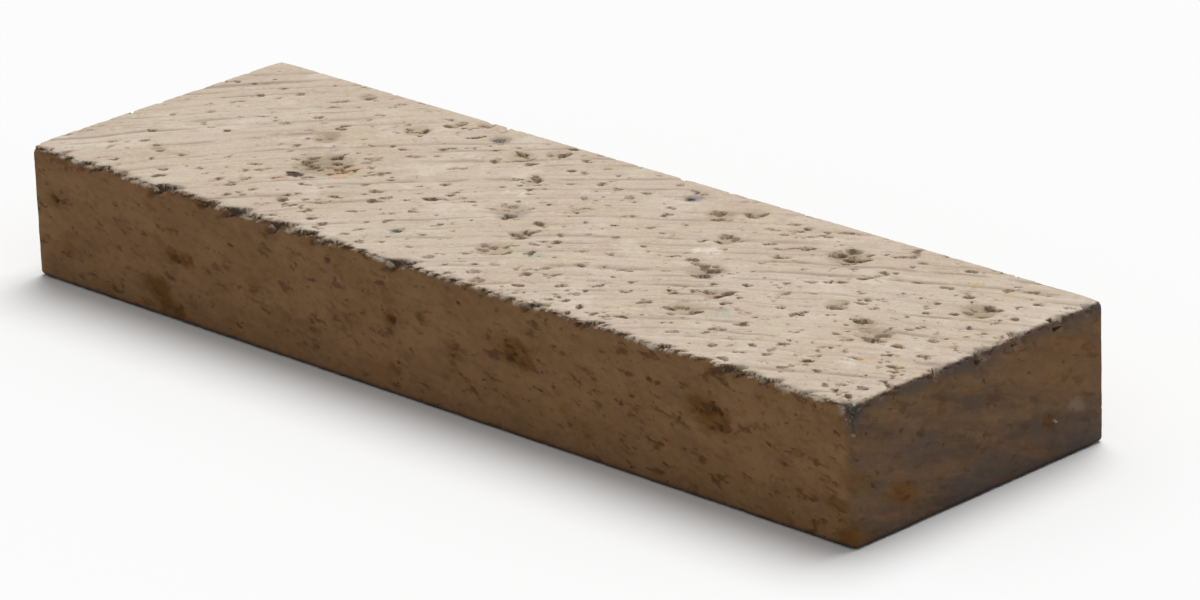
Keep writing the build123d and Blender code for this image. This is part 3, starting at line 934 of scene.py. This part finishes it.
def side_colour(graph, surface):
    """Brown sides, darkened in part as painted shade: bands along the bedding, rust, layers, stains and flecks,
    greyer and darker at the right end with painted shade, and a painted shadow along the foot.
    """
    lying, blurred = surface.lying, surface.blurred
    x, _, z = graph.xyz(surface.place)
    at_end = graph.ramp(x, LENGTH * 0.5 - END_BEGINS, LENGTH * 0.5 - END_FULL)
    # The brown base of the sides is partly the stone's own colour and partly painted shade, as the sides face
    # away from the light
    side = coated(graph, SIDE_DARK, graph.noise(lying, SIDE_BANDS), SIDE_LIGHT)
    side = coated(graph, side, graph.noise(lying, RUST_CLOUDS), RUSTY_SIDE)
    # Painted shade and a greyer tone over the right end
    side = coated(graph, side, at_end, GREY_AND_SHADED_END)
    foot = graph.ramp(z + graph.noise(surface.place, FOOT_CLOUDS) * FOOT_WANDER, *FOOT_LIMITS)
    side = coated(graph, side, foot * at_end, END_FOOT)
    side = coated(graph, side, graph.noise(lying, STREAKS), STREAKED_SIDE, at_end)
    layered = graph.vector("MULTIPLY", graph.warped(lying, *LAYER_WARP), LAYER_STRETCH)
    layers = graph.noise(layered, LAYERS)
    side = coated(graph, side, layers, DARK_LAYERS, at_end)
    side = coated(graph, side, layers, LIGHT_LAYERS, at_end)
    blotches = graph.noise(layered, BLOTCHES)
    side = coated(graph, side, blotches, WARM_BLOTCHES, at_end)
    side = coated(graph, side, blotches, GREY_BLOTCHES, at_end)
    # Painted shade: a dark strip under the right end's upper arris
    strip = graph.ramp(z, THICKNESS - STRIP_BEGINS, THICKNESS - STRIP_FULL)
    side = coated(graph, side, strip * at_end, PAINTED_END_TOP_SHADE)
    mottle = graph.noise(lying, SIDE_MOTTLE)
    side = coated(graph, side, mottle, DARK_MOTTLE)
    side = coated(graph, side, mottle, LIGHT_MOTTLE)
    side = stained(graph, side, blurred, placed(on_front, FRONT_STAINS) + placed(on_end, END_STAINS))
    side = coated(graph, side, surface.vug, SIDE_VUG_DIRT)
    fleck_place = graph.vector("MULTIPLY", blurred + FLECK_SHIFT, FLECK_STRETCH)
    side = coated(graph, side, graph.noise(fleck_place, FLECKS), FLECKED_SIDE, at_end)
    side = coated(graph, side, surface.rim, SIDE_RIM_DIRT, at_end)
    soft_core = graph.ramp(surface.open_depth, *SOFT_CORE_LIMITS)
    side = coated(graph, side, soft_core, SIDE_PIT_DIRT, at_end)
    # Painted shadow along the foot of the sides
    return coated(graph, side, z, PAINTED_FOOT_SHADOW)


def tuff():
    """The stone: pale on the sawn beds, brown on the sides and darkened there in part as painted shade, with
    painted shade where it is chipped.
    """
    material = bpy.data.materials.new("tuff")
    material.use_nodes = True
    graph = Graph(material.node_tree)
    shader = material.node_tree.nodes["Principled BSDF"]
    surface = Surface(graph)
    place, sawn = surface.place, surface.sawn

    stone = paint(graph, sawn, side_colour(graph, surface), bed_colour(graph, surface))
    # Painted shade in the chips, notches and gaps of the arrises
    stone = coated(graph, stone, surface.chip, PAINTED_CHIP_SHADE)
    broken = coated(graph, SPALL_GROUND, graph.noise(place, SPALL_CLOUDS), SPALL_LUMPS)
    spalled = graph.ramp(surface.spall, *SPALL_SHOWN_LIMITS) * SPALL_STRENGTH
    stone = paint(graph, spalled, stone, broken)
    grain = graph.noise(place, GRAIN)
    stone = coated(graph, stone, grain, GRAIN_SHADE)
    graph.feed(shader.inputs["Base Color"], stone)
    graph.feed(shader.inputs["Roughness"], graph.ramp(grain, *GRAIN_ROUGHNESS))
    shader.inputs["Specular IOR Level"].default_value = SPECULAR_LEVEL

    height = graph.noise(place, FINE_BUMPS) * FINE_BUMP_HEIGHT
    height = height + graph.noise(place, COARSE_BUMPS) * COARSE_BUMP_HEIGHT
    height = height - surface.core * sawn * PIT_BUMP
    height = height - (surface.marks * MARK_BUMP + surface.scratches * SCRATCH_BUMP) * sawn
    bump = graph.node("ShaderNodeBump", BUMP_STRENGTH, BUMP_DISTANCE)
    graph.feed(bump.inputs["Height"], height)
    graph.feed(shader.inputs["Normal"], graph.out(bump))
    return material


def plain_floor():
    """A pale matt floor."""
    material = bpy.data.materials.new("pale_floor")
    material.use_nodes = True
    shader = material.node_tree.nodes["Principled BSDF"]
    shader.inputs["Base Color"].default_value = opaque(FLOOR_COLOUR)
    shader.inputs["Roughness"].default_value = FLOOR_ROUGHNESS
    mesh = bpy.data.meshes.new("studio_floor")
    reach = FLOOR_HALF_SIDE
    corners = [(-reach, -reach, 0), (reach, -reach, 0), (reach, reach, 0), (-reach, reach, 0)]
    mesh.from_pydata(corners, [], [(0, 1, 2, 3)])
    mesh.materials.append(material)
    floor = bpy.data.objects.new("studio_floor", mesh)
    bpy.context.scene.collection.objects.link(floor)
    return floor


def camera():
    """The camera at the photograph's angle."""
    lens = bpy.data.cameras.new("camera")
    lens.lens = CAMERA_LENS
    view = bpy.data.objects.new("camera", lens)
    level = math.cos(CAMERA_ELEVATION)
    sideways = math.sin(CAMERA_AZIMUTH) * level
    forward = -math.cos(CAMERA_AZIMUTH) * level
    back = Vector((sideways, forward, math.sin(CAMERA_ELEVATION)))
    right = Vector((0, 0, 1)).cross(back).normalized()
    up = back.cross(right)
    turned_right = right * math.cos(CAMERA_ROLL) + up * math.sin(CAMERA_ROLL)
    turned_up = up * math.cos(CAMERA_ROLL) - right * math.sin(CAMERA_ROLL)
    axes = Matrix((turned_right, turned_up, back)).transposed()
    view.matrix_world = Matrix.Translation(CAMERA_TARGET + back * CAMERA_DISTANCE) @ axes.to_4x4()
    bpy.context.scene.collection.objects.link(view)
    bpy.context.scene.camera = view


def light():
    """A broad soft sun from above and behind, and a pale sky."""
    sun = bpy.data.lights.new("sun", "SUN")
    sun.energy = SUN_STRENGTH
    sun.angle = SUN_SPREAD
    lamp = bpy.data.objects.new("sun", sun)
    lamp.rotation_mode = "QUATERNION"
    lamp.rotation_quaternion = Vector(SUN_FROM).to_track_quat("Z", "Y")
    bpy.context.scene.collection.objects.link(lamp)
    world = bpy.data.worlds.new("pale_sky")
    world.use_nodes = True
    sky = world.node_tree.nodes["Background"]
    sky.inputs["Color"].default_value = opaque(SKY_COLOUR)
    sky.inputs["Strength"].default_value = SKY_STRENGTH
    bpy.context.scene.world = world
    bpy.context.scene.view_settings.view_transform = "Standard"


slab = make_slab(tuff())
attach(slab, "root")
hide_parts("tuff_slab")
plain_floor()
camera()
light()
